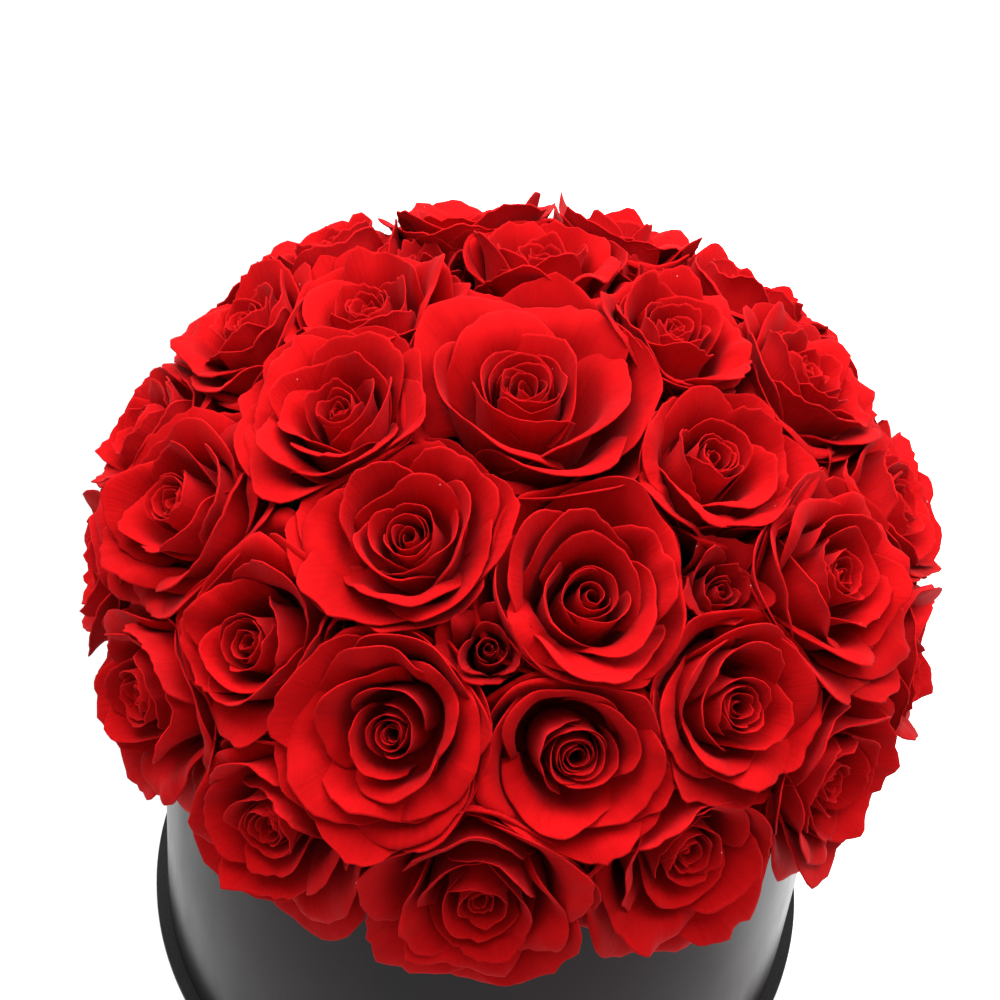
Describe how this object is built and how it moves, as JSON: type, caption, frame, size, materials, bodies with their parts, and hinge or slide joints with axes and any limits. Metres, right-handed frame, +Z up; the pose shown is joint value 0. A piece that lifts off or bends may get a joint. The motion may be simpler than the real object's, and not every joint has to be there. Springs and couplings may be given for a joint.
{
  "type": "flower box",
  "caption": "Round black card flower box with a projecting base plate, filled with foam that carries a full dome of red preserved roses.",
  "frame": {"origin": "centre of the base plate's underside, where the box stands", "axes": "+Z up along the box's axis; the front of the arrangement faces -Y, +X to its right"},
  "size_m": [0.2359, 0.2366, 0.2539],
  "materials": {
    "base_card": "matte black paper-wrapped card",
    "gloss_wrap": "glossy black laminated paper",
    "grey_board": "plain grey board",
    "foam": "dry green floral foam",
    "rose": "velvety deep red preserved petals",
    "bud": "velvety dark red preserved petals"
  },
  "bodies": {
    "root": {"base_plate": "base_card", "foam_base": "foam", "foam_dome": "foam", "inner_bottom": "grey_board", "rose_bud_01": "bud", "rose_bud_02": "bud", "rose_bud_03": "bud", "rose_bud_04": "bud", "rose_crown_01": "rose", "rose_crown_02": "rose", "rose_crown_03": "rose", "rose_crown_04": "rose", "rose_crown_05": "rose", "rose_crown_06": "rose", "rose_crown_07": "rose", "rose_shoulder_01": "rose", "rose_shoulder_02": "rose", "rose_shoulder_03": "rose", "rose_shoulder_04": "rose", "rose_shoulder_05": "rose", "rose_shoulder_06": "rose", "rose_shoulder_07": "rose", "rose_shoulder_08": "rose", "rose_shoulder_09": "rose", "rose_shoulder_10": "rose", "rose_shoulder_11": "rose", "rose_shoulder_12": "rose", "rose_shoulder_13": "rose", "rose_shoulder_14": "rose", "rose_skirt_01": "rose", "rose_skirt_02": "rose", "rose_skirt_03": "rose", "rose_skirt_04": "rose", "rose_skirt_05": "rose", "rose_skirt_06": "rose", "rose_skirt_07": "rose", "rose_skirt_08": "rose", "rose_skirt_09": "rose", "rose_skirt_10": "rose", "rose_skirt_11": "rose", "rose_skirt_12": "rose", "rose_skirt_13": "rose", "rose_top_01": "rose", "wall_board": "grey_board", "wall_wrap": "gloss_wrap"}
  },
  "joints": []
}
